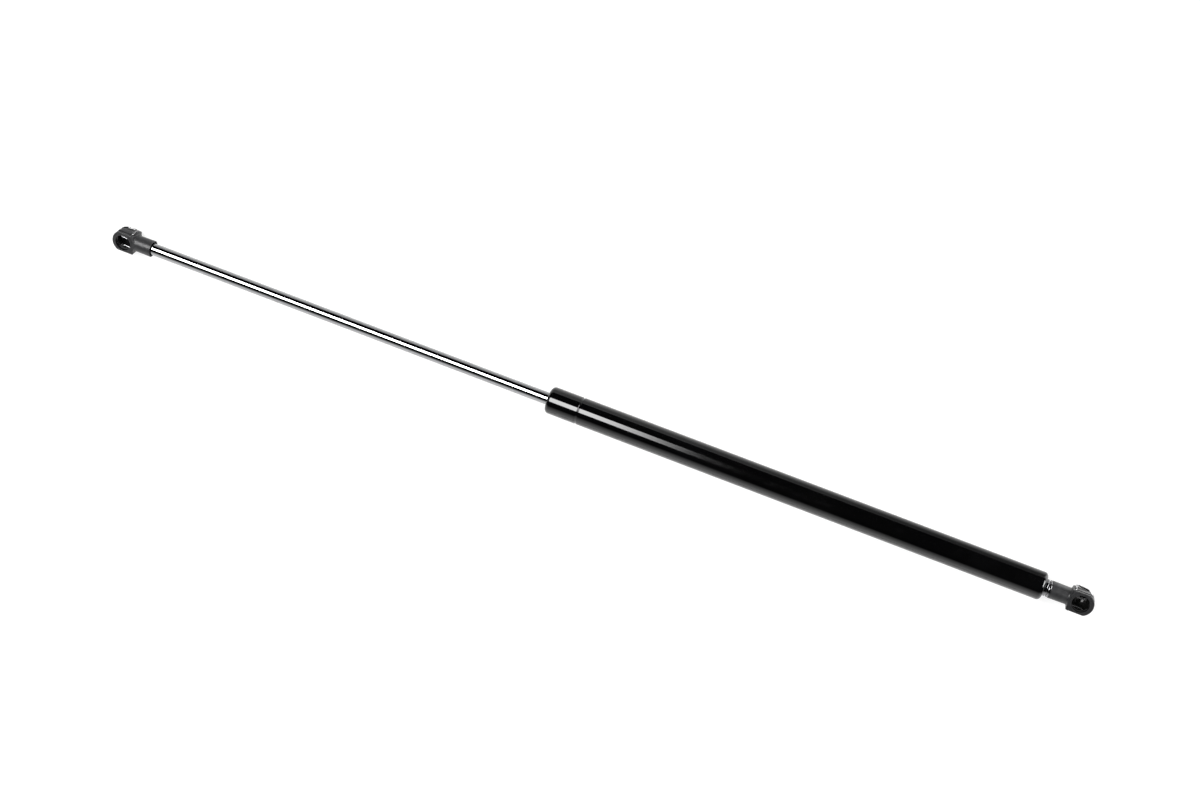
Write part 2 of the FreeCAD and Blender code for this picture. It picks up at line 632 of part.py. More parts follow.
def cut_seat(body):
    """The ball's seat: a half ball, a straight wall up to the lip and a wider mouth."""
    seat = new_sketch(body, "seat", "XZ_Plane")
    top = f"({HEAD_FRONT} + rim_high)"
    radius = size("ball_radius") + size("ball_play")
    mouth = size("ball_radius") + size("mouth_play")
    front = size("ball_radius") + size("front_wall")
    lip, step, height = front - size("lip_thick"), size("slot_play"), front + size("rim_high")
    half_ball = Part.Circle(Vector(0, 0, 0), Vector(0, 0, 1), radius)
    seat.addGeometry(Part.ArcOfCircle(half_ball, 1.5 * math.pi, 2 * math.pi), False)
    corners = [
        Vector(radius, 0, 0),
        Vector(radius, lip - step, 0),
        Vector(mouth, lip, 0),
        Vector(mouth, height, 0),
        Vector(0, height, 0),
        Vector(0, -radius, 0),
    ]
    for start, end in zip(corners, corners[1:]):
        seat.addGeometry(Part.LineSegment(start, end), False)
    seat.addConstraint(Sketcher.Constraint("Coincident", 0, 3, *ORIGIN_POINT))
    bind(seat, "Radius", 0, None, SEAT_R)
    seat.addConstraint(Sketcher.Constraint("PointOnObject", 0, 1, Y_AXIS_LINE))
    seat.addConstraint(Sketcher.Constraint("PointOnObject", 0, 2, X_AXIS_LINE))
    seat.addConstraint(Sketcher.Constraint("Coincident", 0, 2, 1, 1))
    for edge in range(1, 5):
        seat.addConstraint(Sketcher.Constraint("Coincident", edge, 2, edge + 1, 1))
    seat.addConstraint(Sketcher.Constraint("Coincident", 5, 2, 0, 1))
    place(seat, 2, 1, SEAT_R, f"({SLOT_FRONT} - slot_play)")
    place(seat, 3, 1, MOUTH_R, SLOT_FRONT)
    place(seat, 4, 1, MOUTH_R, top)
    place(seat, 5, 1, "0", top)
    revolve(body, seat, "PartDesign::Groove", "V_Axis")


def cut_clip_slots(body):
    """A slot through each side wall, in which a clip leg spreads when the ball goes in."""
    inner = "(leg_half - wire_radius - slot_play)"
    slot = new_sketch(body, "slot", "XZ_Plane", f"(-1*{inner})")
    rear = f"({SLOT_FRONT} - 2*slot_play - 2*wire_radius)"
    neck_side = "(leg_entry + wire_radius + slot_play)"
    tip_side = f"(-1*{SLOT_PAST})"
    polygon(slot, [(tip_side, rear), (neck_side, rear), (neck_side, SLOT_FRONT), (tip_side, SLOT_FRONT)])
    cut = pad(body, slot, f"(2*{HEAD_HALF})", True, "PartDesign::Pocket")
    mirror = body.newObject("PartDesign::Mirrored", f"{body.Name}_slots")
    mirror.Originals = [cut]
    mirror.MirrorPlane = (origin_feature(body, "XZ_Plane"), [""])
    finish_feature(body, mirror)


def cut_bow_groove(body):
    """A groove round the head's tip for the clip's bow, which runs out along both sides."""
    half_head, tip_radius = head_sizes()[:2]
    entry, run = size("leg_entry"), half_head + size("side_play") - size("wire_play")
    radius = tip_radius - size("bow_sink") - 2 * size("wire_radius") - size("wire_play")
    swing = math.atan2(run, entry) + math.acos(radius / math.hypot(entry, run))
    far = 2 * half_head
    groove = new_sketch(body, "bow_groove", "XY_Plane", "(-1*bow_depth - wire_radius - slot_play)")
    floor = Part.Circle(Vector(0, 0, 0), Vector(0, 0, 1), radius)
    groove.addGeometry(Part.ArcOfCircle(floor, swing, 2 * math.pi - swing), False)
    leave = Vector(radius * math.cos(swing), -radius * math.sin(swing), 0)
    meet = Vector(leave.x, -leave.y, 0)
    corners = [leave, Vector(entry, -run, 0), Vector(entry, -far, 0), Vector(-far, -far, 0),
               Vector(-far, far, 0), Vector(entry, far, 0), Vector(entry, run, 0), meet]
    for start, end in zip(corners, corners[1:]):
        groove.addGeometry(Part.LineSegment(start, end), False)
    groove.addConstraint(Sketcher.Constraint("Tangent", 0, 2, 1, 1))
    for edge in range(1, 7):
        groove.addConstraint(Sketcher.Constraint("Coincident", edge, 2, edge + 1, 1))
    groove.addConstraint(Sketcher.Constraint("Tangent", 7, 2, 0, 1))
    groove.addConstraint(Sketcher.Constraint("Coincident", 0, 3, *ORIGIN_POINT))
    bind(groove, "Radius", 0, None, f"({HEAD_TIP} - bow_sink - 2*wire_radius - wire_play)")
    past, run_out = f"(2*{HEAD_HALF})", f"({HEAD_HALF} + side_play - wire_play)"
    place(groove, 2, 1, "leg_entry", f"(-1*{run_out})")
    place(groove, 3, 1, "leg_entry", f"(-1*{past})")
    place(groove, 4, 1, f"(-1*{past})", f"(-1*{past})")
    place(groove, 5, 1, f"(-1*{past})", past)
    place(groove, 6, 1, "leg_entry", past)
    place(groove, 7, 1, "leg_entry", run_out)
    pad(body, groove, "(2*wire_radius + 2*slot_play)", True, "PartDesign::Pocket")


def round_bend(start, corner, end, radius):
    """Where an arc of the given radius leaves the way start-corner and joins corner-end."""
    into = (corner - start).normalize()
    out = (end - corner).normalize()
    turn = into.getAngle(out)
    reach = radius * math.tan(turn / 2)
    first, last = corner - into * reach, corner + out * reach
    inward = (out - into).normalize()
    middle = corner + inward * (radius / math.cos(turn / 2) - radius)
    return first, middle, last


def make_socket_clip(label):
    """Spring wire clip: a bow behind the head's tip and two legs through its side slots."""
    half_head, tip_radius = head_sizes()[:2]
    radius, bend = size("wire_radius"), size("wire_bend")
    bow_radius = tip_radius - size("bow_sink") - radius
    entry, side = size("leg_entry"), half_head + size("side_play") + radius
    swing = math.atan2(side, entry) + math.acos(bow_radius / math.hypot(entry, side))
    bow_z = -size("bow_depth")
    bow_end = Vector(bow_radius * math.cos(swing), bow_radius * math.sin(swing), bow_z)
    front = size("ball_radius") + size("front_wall")
    leg_z = front - size("lip_thick") - size("slot_play") - radius
    lean = math.radians(size("leg_lean"))
    reach = bend * math.tan((math.pi / 2 - lean) / 2)
    leg_start, leg_end = entry - reach * math.cos(lean), -size("leg_past")
    middle = (leg_start + leg_end) / 2
    leg = size("leg_half") + (leg_start - middle) * math.tan(lean / 2)
    way = [
        bow_end,
        Vector(entry, side, bow_z),
        Vector(entry, side, leg_z),
        Vector(entry, leg + reach * math.sin(lean), leg_z),
        Vector(leg_start, leg, leg_z),
    ]
    half = []
    last = bow_end
    for before, corner, after in zip(way, way[1:], way[2:]):
        first, between, end = round_bend(before, corner, after, bend)
        half.append(Part.LineSegment(last, first).toShape())
        half.append(Part.Arc(first, between, end).toShape())
        last = end
    tail = Vector(leg_end, leg, leg_z)
    half.append(Part.Arc(last, Vector(middle, size("leg_half"), leg_z), tail).toShape())
    tip = Vector(-bow_radius, 0, bow_z)
    other_end = Vector(bow_end.x, -bow_end.y, bow_z)
    bow = Part.Arc(bow_end, tip, other_end).toShape()
    mirrored = [edge.mirror(Vector(0, 0, 0), Vector(0, 1, 0)) for edge in half]
    path = Part.Wire(Part.__sortEdges__(half + [bow] + mirrored))
    along = Vector(math.cos(lean), -math.sin(lean), 0)
    section = Part.Wire(Part.Circle(tail, along, radius).toShape())
    wire = path.makePipeShell([section], True, False)
    clip = doc.addObject("Part::Feature", label)
    clip.Label = label
    clip.Shape = wire
    return clip


def turn_to_rod_end(piece):
    """Moves a piece from the tube's ball centre to the rod's, facing back along the strut."""
    roll = FreeCAD.Rotation(Vector(1, 0, 0), -size("socket_roll"))
    about = FreeCAD.Rotation(Vector(0, 0, 1), 180)
    piece.Placement = FreeCAD.Placement(Vector(0, 0, 0), roll.multiply(about))
    piece.setExpression("Placement.Base.x", cell(ROD_BALL))


pieces = [make_pressure_tube(), make_end_plug(), make_end_plug_seal(), make_threaded_stud()]
pieces += make_seal_package()
pieces += make_piston_package()
pieces.append(make_piston_rod())
pieces.append(make_ball_socket("tube_ball_socket"))
pieces.append(make_socket_clip("tube_socket_clip"))
rod_end = [make_ball_socket("rod_ball_socket"), make_socket_clip("rod_socket_clip")]
for piece in rod_end:
    turn_to_rod_end(piece)
pieces += rod_end
doc.recompute()

for thing in doc.Objects:
    bad = {"Invalid", "Error"} & set(thing.State)
    assert not bad, f"{thing.Label} is in state {thing.State}"
os.makedirs("parts", exist_ok=True)
for piece in pieces:
    shape = piece.Shape
    assert not shape.isNull() and shape.isValid(), f"{piece.Label} has no valid shape"
    assert len(shape.Solids) == 1, f"{piece.Label} has {len(shape.Solids)} solids"
    shape.exportStep(f"parts/{piece.Label}.step")
    box = shape.BoundBox
    print(f"{piece.Label}: {shape.Volume:.1f} mm3, X {box.XMin:.2f}..{box.XMax:.2f}, "
          f"Y {box.YMin:.2f}..{box.YMax:.2f}, Z {box.ZMin:.2f}..{box.ZMax:.2f}")
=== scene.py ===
"""Gas strut stay: finishes for every piece, and a plain pale studio around it.

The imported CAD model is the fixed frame: every piece keeps its shape and place, and gets a
procedural finish here. All lengths are metres in the part's own frame: the origin is the ball
centre of the tube's socket, +X runs along the strut and +Z leaves the mouth of that socket.
"""
import json
import math

import bpy
import numpy as np
from bpy.props import FloatProperty, FloatVectorProperty, PointerProperty
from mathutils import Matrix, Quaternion, Vector


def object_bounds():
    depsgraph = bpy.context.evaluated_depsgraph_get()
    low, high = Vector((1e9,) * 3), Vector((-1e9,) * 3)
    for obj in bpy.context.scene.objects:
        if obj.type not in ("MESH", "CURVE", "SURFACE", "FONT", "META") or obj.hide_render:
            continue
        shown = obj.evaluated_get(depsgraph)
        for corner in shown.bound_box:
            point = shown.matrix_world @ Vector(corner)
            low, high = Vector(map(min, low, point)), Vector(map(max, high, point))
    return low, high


bl_info = {
    "name": "Gas Strut Stay",
    "version": (1, 0, 0),
    "blender": (4, 5, 0),
    "location": "3D View > Sidebar > Gas Strut",
    "description": "Finishes and studio for a gas strut stay with clipped ball sockets",
    "category": "Object",
}

MM = 0.001
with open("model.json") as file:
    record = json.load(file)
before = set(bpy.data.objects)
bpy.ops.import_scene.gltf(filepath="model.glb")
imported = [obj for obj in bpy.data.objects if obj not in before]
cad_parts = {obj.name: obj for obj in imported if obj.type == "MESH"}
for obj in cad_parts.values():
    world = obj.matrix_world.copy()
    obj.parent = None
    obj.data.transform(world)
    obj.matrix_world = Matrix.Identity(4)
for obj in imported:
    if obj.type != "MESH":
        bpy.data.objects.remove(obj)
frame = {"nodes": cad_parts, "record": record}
CAD_LOW, CAD_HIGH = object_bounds()
CENTRE = (CAD_LOW + CAD_HIGH) / 2

# The mouth of the rod's socket, as the part's record gives it. Both sockets are the same moulding,
# and the rod's is rolled about the X axis. The seat behind the mouth is just wider than its ball.
MOUNTS = {mount["name"]: mount for mount in frame["record"]["mounts"]}
ROD_MOUTH = MOUNTS["rod_socket_mouth"]
ROD_BALL = ROD_MOUTH["pos_m"][0]
ROD_SOCKET_ROLL = math.atan2(*ROD_MOUTH["axis"][1:])
MOUTH_RADIUS = ROD_MOUTH["dims"]["r_mm"] * MM
SEAT_RADIUS = 5.1 * MM


# ---------------------------------------------------------------- sizes and colours


def colour(name, description, default):
    """A colour setting, in linear red, green and blue."""
    return FloatVectorProperty(name=name, description=description, default=default, size=3,
                               min=0.0, max=1.0, subtype="COLOR")


def share(name, description, default):
    """A setting between 0 and 1."""
    return FloatProperty(name=name, description=description, default=default, min=0.0, max=1.0,
                         subtype="FACTOR")


def length(name, description, default):
    """A length setting, in metres."""
    return FloatProperty(name=name, description=description, default=default, min=0.0,
                         unit="LENGTH", precision=5)


def angle(name, description, degrees):
    """An angle setting, given in degrees."""
    return FloatProperty(name=name, description=description, default=math.radians(degrees),
                         unit="ROTATION")


def brightness(name, description, default):
    """The strength of a light."""
    return FloatProperty(name=name, description=description, default=default, min=0.0)


class StrutFinishes(bpy.types.PropertyGroup):
    """Colours and surface qualities of the strut's pieces."""

    paint_colour: colour("Tube paint", "Black paint on the pressure tube",
                         (0.0010, 0.0010, 0.0011))
    paint_gloss: share("Tube paint roughness", "Roughness of the black paint", 0.07)
    paint_peel: length("Orange peel", "Width of the waves in the paint", 2.2 * MM)
    chrome_colour: colour("Rod chrome", "Hard chrome on the piston rod", (0.37, 0.374, 0.38))
    chrome_gloss: share("Rod roughness", "Roughness of the hard chrome", 0.02)
    nylon_colour: colour("Socket nylon", "Glass-filled nylon of the ball sockets",
                         (0.017, 0.017, 0.018))
    nylon_gloss: share("Socket roughness", "Roughness of the moulded nylon", 0.38)
    nylon_grain: length("Socket grain", "Size of the grain in the moulded surface", 0.35 * MM)
    # Near black in the seats: real grease, darkened further as painted shade of the recess behind
    # each mouth.
    grease_and_shade_colour: colour("Seat grease", "Grease and painted shade in the ball seats", (0.006, 0.006, 0.006))
    wire_colour: colour("Clip wire", "Bright spring wire of the clips", (0.28, 0.28, 0.285))
    zinc_colour: colour("Stud zinc", "Zinc plating of the threaded stud", (0.25, 0.25, 0.255))
    steel_colour: colour("Bare steel", "Turned steel inside the tube", (0.47, 0.47, 0.48))
    bronze_colour: colour("Bush bronze", "Sintered bronze of the guide bush", (0.55, 0.33, 0.16))
    alloy_colour: colour("Piston alloy", "Turned alloy of the piston", (0.62, 0.62, 0.63))
    acetal_colour: colour("Guide acetal", "Plastic of the rod guide and the piston ring",
                          (0.62, 0.60, 0.54))
    rubber_colour: colour("Seal rubber", "Rubber of both seals", (0.012, 0.012, 0.012))
    buffer_colour: colour("Buffer rubber", "Rubber of the rebound buffer", (0.02, 0.02, 0.021))
    turning_pitch: length("Turning lines", "Distance between the lines left by turning", 0.22 * MM)


class StrutStudio(bpy.types.PropertyGroup):
    """The camera and the light."""

    lens: FloatProperty(name="Lens", description="Focal length in millimetres", default=54.0,
                        min=10.0)
    distance: length("Camera distance", "From the camera to the point it aims at", 1.1498)
    azimuth: angle("Azimuth", "Direction of the camera round the vertical", -22.38)
    elevation: angle("Elevation", "Height of the camera over the horizon", 67.53)
    roll: angle("Roll", "Turn of the camera about its own line of sight", 138.49)
    key_light: brightness("Key light", "Brightness of the key softbox", 13.0)
    side_light: brightness("Side light", "Brightness of the side softbox", 12.0)
    card_light: brightness("White card", "Brightness of the white card", 1.5)


# ---------------------------------------------------------------- node helpers


def feed(tree, socket, value):
    """Gives an input a plain value, or joins it to another node's output."""
    if isinstance(value, bpy.types.NodeSocket):
        tree.links.new(value, socket)
    else:
        socket.default_value = value


def add(tree, kind, inputs=None, **settings):
    """A new node with its settings; its inputs are given by name or by number."""
    node = tree.nodes.new(kind)
    for name, value in settings.items():
        setattr(node, name, value)
    for key, value in (inputs or {}).items():
        feed(tree, node.inputs[key], value)
    return node


def math_node(tree, operation, first, second):
    """The output of a Math node."""
    return add(tree, "ShaderNodeMath", {0: first, 1: second}, operation=operation).outputs[0]


def times(tree, first, second):
    """One value multiplied by another."""
    return math_node(tree, "MULTIPLY", first, second)


def vector_math(tree, operation, *vectors):
    """The outputs of a Vector Math node."""
    return add(tree, "ShaderNodeVectorMath", dict(enumerate(vectors)), operation=operation).outputs


def axis_parts(tree, vector):
    """The X, Y and Z outputs of a vector."""
    return add(tree, "ShaderNodeSeparateXYZ", {0: vector}).outputs


def blend(tree, mask, low, high):
    """A value between two, by a mask."""
    return add(tree, "ShaderNodeMix", {0: mask, 2: low, 3: high}).outputs[0]


def stretch(tree, vector, scale):
    """A vector with each of its parts multiplied."""
    return vector_math(tree, "MULTIPLY", vector, scale)[0]


def remap(tree, value, low, high, to_low, to_high, way="SMOOTHSTEP"):
    """A value taken from one range to another, smoothly unless the way is LINEAR."""
    node = add(tree, "ShaderNodeMapRange", {
        "Value": value, "From Min": low, "From Max": high, "To Min": to_low, "To Max": to_high,
    }, interpolation_type=way)
    return node.outputs["Result"]


def noise(tree, vector, size, detail=3.0, roughness=0.5):
    """Noise between 0 and 1 whose largest lumps are about the given size."""
    linked = isinstance(size, bpy.types.NodeSocket)
    scale = math_node(tree, "DIVIDE", 1.0, size) if linked else 1.0 / size
    return add(tree, "ShaderNodeTexNoise", {
        "Vector": vector, "Scale": scale, "Detail": detail, "Roughness": roughness,
    }).outputs["Fac"]


def new_group(name, inputs, outputs):
    """An empty node group with named inputs and outputs: (tree, input sockets, output node)."""
    tree = bpy.data.node_groups.new(name, "ShaderNodeTree")
    for label, kind, default in inputs:
        socket = tree.interface.new_socket(label, in_out="INPUT", socket_type=kind)
        if default is not None:
            socket.default_value = default
    for label, kind in outputs:
        tree.interface.new_socket(label, in_out="OUTPUT", socket_type=kind)
    return tree, tree.nodes.new("NodeGroupInput").outputs, tree.nodes.new("NodeGroupOutput")


GRAIN_COARSENESS = 0.3


def grain_group():
    """Fine grain: two sizes of noise laid over each other, as a height and as a shade."""
    tree, given, out = new_group(
        "surface_grain",
        [("Vector", "NodeSocketVector", None), ("Size", "NodeSocketFloat", 0.3 * MM)],
        [("Height", "NodeSocketFloat"), ("Shade", "NodeSocketFloat")],
    )
    fine = noise(tree, given["Vector"], given["Size"], detail=4.0, roughness=0.6)
    coarse_size = times(tree, given["Size"], 9.0)
    coarse = noise(tree, given["Vector"], coarse_size, detail=2.0)
    height = blend(tree, GRAIN_COARSENESS, fine, coarse)
    feed(tree, out.inputs["Height"], height)
    feed(tree, out.inputs["Shade"], remap(tree, height, 0.35, 0.65, 0.0, 1.0))
    return tree


def turning_group():
    """Lines round the X axis, as a lathe or grinder leaves: a wave along X, bent by noise."""
    tree, given, out = new_group(
        "turning_lines",
        [("Vector", "NodeSocketVector", None), ("Pitch", "NodeSocketFloat", 0.2 * MM)],
        [("Height", "NodeSocketFloat"), ("Mask", "NodeSocketFloat")],
    )
    per_metre = math_node(tree, "DIVIDE", 1.0, given["Pitch"])
    squeezed = stretch(tree, given["Vector"], (1.0, 0.02, 0.02))
    lines = add(tree, "ShaderNodeTexNoise", {"Vector": squeezed, "Scale": per_metre, "Detail": 2.0})
    feed(tree, out.inputs["Height"], lines.outputs["Fac"])
    patches = noise(tree, given["Vector"], 6.0 * MM, detail=2.0)
    both = times(tree, lines.outputs["Fac"], patches)
    feed(tree, out.inputs["Mask"], remap(tree, both, 0.12, 0.42, 0.0, 1.0))
    return tree


def smudge_group():
    """Handling marks: wide soft noise and narrow smears, as a mask."""
    tree, given, out = new_group(
        "smudges",
        [("Vector", "NodeSocketVector", None), ("Size", "NodeSocketFloat", 12.0 * MM)],
        [("Mask", "NodeSocketFloat")],
    )
    wide = noise(tree, given["Vector"], given["Size"], detail=3.0)
    smear = noise(tree, stretch(tree, given["Vector"], (0.25, 1.0, 1.0)), 1.6 * MM, detail=2.0)
    mixed = times(tree, wide, math_node(tree, "ADD", smear, 0.5))
    feed(tree, out.inputs["Mask"], remap(tree, mixed, 0.38, 0.72, 0.0, 1.0))
    return tree


def place_group(tree, name, vector, **values):
    """A shared group placed in a material with its own values."""
    makers = {"surface_grain": grain_group, "turning_lines": turning_group, "smudges": smudge_group}
    group = bpy.data.node_groups.get(name) or makers[name]()
    return add(tree, "ShaderNodeGroup", {"Vector": vector, **values}, node_tree=group).outputs


def start_material(name):
    """A new material: (material, tree, Principled BSDF, object coordinates)."""
    material = bpy.data.materials.new(name)
    material.use_nodes = True
    tree = material.node_tree
    shader = tree.nodes["Principled BSDF"]
    return material, tree, shader, add(tree, "ShaderNodeTexCoord").outputs["Object"]


def seat_mask(tree, where):
    """1 inside the mouths and seats of the sockets, 0 outside.

    The place is taken from the nearer ball centre and turned so that the mouth looks up. It is
    inside where it is nearer to the mouth's axis than the mouth's radius, above the seat's back.
    """
    at_rod = math_node(tree, "GREATER_THAN", axis_parts(tree, where)["X"], ROD_BALL / 2)
    ball_x = times(tree, at_rod, ROD_BALL)
    centre = add(tree, "ShaderNodeCombineXYZ", {"X": ball_x}).outputs[0]
    upright = add(tree, "ShaderNodeVectorRotate", {
        "Vector": vector_math(tree, "SUBTRACT", where, centre)[0],
        "Angle": times(tree, at_rod, ROD_SOCKET_ROLL),
    }, rotation_type="X_AXIS").outputs[0]
    reach = vector_math(tree, "LENGTH", stretch(tree, upright, (1.0, 1.0, 0.0)))["Value"]
    inside = remap(tree, reach, MOUTH_RADIUS + 0.02 * MM, MOUTH_RADIUS + 0.08 * MM, 1.0, 0.0)
    over_back = math_node(tree, "GREATER_THAN", axis_parts(tree, upright)["Z"], -SEAT_RADIUS)
    return times(tree, inside, over_back)


def set_bump(tree, shader, height, depth):
    """Bump of a given depth in metres."""
    bump = add(tree, "ShaderNodeBump", {"Height": height, "Distance": depth, "Strength": 1.0})
    feed(tree, shader.inputs["Normal"], bump.outputs["Normal"])


def tint(tree, mask, low, high):
    """A colour between two, by a mask; each is a plain colour or another node's output."""
    mix = add(tree, "ShaderNodeMix", data_type="RGBA")
    feed(tree, mix.inputs[0], mask)
    for number, end in ((6, low), (7, high)):
        linked = isinstance(end, bpy.types.NodeSocket)
        feed(tree, mix.inputs[number], end if linked else (*end, 1.0))
    return mix.outputs[2]


def shaded(base, factor):
    """A colour made darker or lighter."""
    return tuple(min(1.0, part * factor) for part in base)


# ---------------------------------------------------------------- finishes


def black_paint(finish):
    """Stoved black gloss paint: deep black with a faint orange peel and light smudges."""
    material, tree, shader, where = start_material("black_gloss_paint")
    smudge = place_group(tree, "smudges", where, Size=20.0 * MM)["Mask"]
    base = tuple(finish.paint_colour)
    feed(tree, shader.inputs["Base Color"], tint(tree, smudge, base, shaded(base, 1.5)))
    gloss = finish.paint_gloss
    feed(tree, shader.inputs["Roughness"], remap(tree, smudge, 0.0, 1.0, gloss, gloss * 1.5))
    shader.inputs["Coat Weight"].default_value = 0.3
    shader.inputs["Coat Roughness"].default_value = 0.04
    peel = noise(tree, where, finish.paint_peel, detail=1.0)
    set_bump(tree, shader, peel, 0.004 * MM)
    return material


def hard_chrome(finish):
    """Ground and polished hard chrome with very fine lines round the rod."""
    material, tree, shader, where = start_material("polished_hard_chrome")
    lines = place_group(tree, "turning_lines", where, Pitch=0.12 * MM)
    base = tuple(finish.chrome_colour)
    feed(tree, shader.inputs["Base Color"],
         tint(tree, lines["Mask"], shaded(base, 0.97), shaded(base, 1.02)))
    shader.inputs["Metallic"].default_value = 1.0
    gloss = finish.chrome_gloss
    feed(tree, shader.inputs["Roughness"],
         remap(tree, lines["Mask"], 0.0, 1.0, gloss, gloss + 0.02))
    set_bump(tree, shader, lines["Height"], 0.0003 * MM)
    return material


FIBRE_SPACING = 0.35 * MM


def socket_nylon(finish):
    """Dark glass-filled nylon: matt, mottled, with pale fibre flecks, and near-black grease in the
    seats that also paints the shade of the recess.
    """
    material, tree, shader, where = start_material("glass_filled_nylon")
    grain = place_group(tree, "surface_grain", where, Size=finish.nylon_grain)
    mottle = noise(tree, where, 2.4 * MM, detail=3.0, roughness=0.6)
    base = tuple(finish.nylon_colour)
    mottled = tint(tree, remap(tree, mottle, 0.3, 0.7, 0.0, 1.0),
                   shaded(base, 0.8), shaded(base, 1.25))
    fibres = add(tree, "ShaderNodeTexVoronoi", {
        "Vector": stretch(tree, where, (0.3, 1.0, 1.0)), "Scale": 1.0 / FIBRE_SPACING,
    }).outputs["Distance"]
    fleck = remap(tree, fibres, 0.0, 0.16, 1.0, 0.0)
    flecked = tint(tree, times(tree, fleck, 0.35), mottled, shaded(base, 2.6))
    # Inside the mouths the nylon is painted near black: grease, plus painted shade for the recess
    # behind each mouth.
    grease_and_shade = seat_mask(tree, where)
    feed(tree, shader.inputs["Base Color"], tint(tree, grease_and_shade, flecked, finish.grease_and_shade_colour))
    gloss = finish.nylon_gloss
    matt = remap(tree, grain["Shade"], 0.0, 1.0, gloss - 0.06, gloss + 0.08)
    feed(tree, shader.inputs["Roughness"],
         math_node(tree, "SUBTRACT", matt, times(tree, grease_and_shade, 0.2)))
    set_bump(tree, shader, grain["Height"], 0.03 * MM)
    return material


def turned_metal(name, base, gloss, pitch, depth):
    """Turned metal with lines round the X axis and a slight stain."""
    material, tree, shader, where = start_material(name)
    lines = place_group(tree, "turning_lines", where, Pitch=pitch)
    stain = place_group(tree, "smudges", where, Size=5.0 * MM)["Mask"]
    feed(tree, shader.inputs["Base Color"], tint(tree, stain, base, shaded(base, 0.82)))
    shader.inputs["Metallic"].default_value = 1.0
    feed(tree, shader.inputs["Roughness"],
         remap(tree, lines["Mask"], 0.0, 1.0, gloss, gloss + 0.12))
    set_bump(tree, shader, lines["Height"], depth)
    return material


def spring_wire(finish):
    """Bright drawn spring wire with fine grain and a little oil."""
    material, tree, shader, where = start_material("bright_spring_wire")
    base = tuple(finish.wire_colour)
    grain = place_group(tree, "surface_grain", where, Size=0.12 * MM)
    oil = place_group(tree, "smudges", where, Size=3.0 * MM)["Mask"]
    feed(tree, shader.inputs["Base Color"], tint(tree, oil, base, shaded(base, 0.8)))
    shader.inputs["Metallic"].default_value = 1.0
    feed(tree, shader.inputs["Roughness"], remap(tree, oil, 0.0, 1.0, 0.13, 0.24))
    set_bump(tree, shader, grain["Height"], 0.002 * MM)
    return material


def soft_matter(name, base, gloss, grain_size, depth):
    """Rubber or plastic: a plain colour with fine grain and cloudy wear."""
    material, tree, shader, where = start_material(name)
    grain = place_group(tree, "surface_grain", where, Size=grain_size)
    worn = place_group(tree, "smudges", where, Size=4.0 * MM)["Mask"]
    feed(tree, shader.inputs["Base Color"], tint(tree, worn, base, shaded(base, 1.35)))
    feed(tree, shader.inputs["Roughness"],
         remap(tree, grain["Shade"], 0.0, 1.0, gloss, gloss + 0.1))
    set_bump(tree, shader, grain["Height"], depth)
    return material


def turned_steel(finish):
    """The bare turned steel that several inner pieces share."""
    made = bpy.data.materials.get("turned_steel")
    return made or turned_metal("turned_steel", tuple(finish.steel_colour), 0.26,
                                finish.turning_pitch, 0.006 * MM)


def nitrile_rubber(finish):
    """The black rubber that both seals share."""
    made = bpy.data.materials.get("nitrile_rubber")
    return made or soft_matter("nitrile_rubber", tuple(finish.rubber_colour), 0.42,
                               0.2 * MM, 0.006 * MM)


def guide_acetal(finish):
    """The pale plastic that the rod guide and the piston ring share."""
    made = bpy.data.materials.get("guide_acetal")
    return made or soft_matter("guide_acetal", tuple(finish.acetal_colour), 0.38,
                               0.3 * MM, 0.005 * MM)


def finish_nodes(material, *nodes):
    """Gives CAD pieces a finish in their own material slots."""
    for node in nodes:
        for place in frame["nodes"][node].material_slots:
            place.material = material


# ---------------------------------------------------------------- operators for the pieces


class PieceOperator:
    """What the operators that finish pieces share."""

    bl_options = {"REGISTER", "UNDO"}

    def execute(self, context):
        self.finish(context.scene.strut_finishes)
        return {"FINISHED"}


class STRUT_OT_pressure_tube(PieceOperator, bpy.types.Operator):
    """Paints the pressure tube gloss black"""

    bl_idname = "strut.pressure_tube"
    bl_label = "Pressure Tube"

    def finish(self, finish):
        finish_nodes(black_paint(finish), "pressure_tube")


class STRUT_OT_piston_rod(PieceOperator, bpy.types.Operator):
    """Chromes the piston rod"""

    bl_idname = "strut.piston_rod"
    bl_label = "Piston Rod"

    def finish(self, finish):
        finish_nodes(hard_chrome(finish), "piston_rod")


class STRUT_OT_ball_sockets(PieceOperator, bpy.types.Operator):
    """Gives both ball sockets their moulded nylon"""

    bl_idname = "strut.ball_sockets"
    bl_label = "Ball Sockets"

    def finish(self, finish):
        finish_nodes(socket_nylon(finish), "tube_ball_socket", "rod_ball_socket")


class STRUT_OT_socket_clips(PieceOperator, bpy.types.Operator):
    """Gives both safety clips their spring wire"""

    bl_idname = "strut.socket_clips"
    bl_label = "Socket Clips"

    def finish(self, finish):
        finish_nodes(spring_wire(finish), "tube_socket_clip", "rod_socket_clip")


class STRUT_OT_threaded_stud(PieceOperator, bpy.types.Operator):
    """Zinc plates the threaded stud and its collar"""

    bl_idname = "strut.threaded_stud"
    bl_label = "Threaded Stud"

    def finish(self, finish):
        zinc = turned_metal("bright_zinc", tuple(finish.zinc_colour), 0.12,
                            finish.turning_pitch, 0.001 * MM)
        finish_nodes(zinc, "threaded_stud")


class STRUT_OT_rear_closure(PieceOperator, bpy.types.Operator):
    """Finishes the plug in the rear of the tube and its seal"""

    bl_idname = "strut.rear_closure"
    bl_label = "Rear Closure"

    def finish(self, finish):
        finish_nodes(turned_steel(finish), "end_plug")
        finish_nodes(nitrile_rubber(finish), "end_plug_seal")


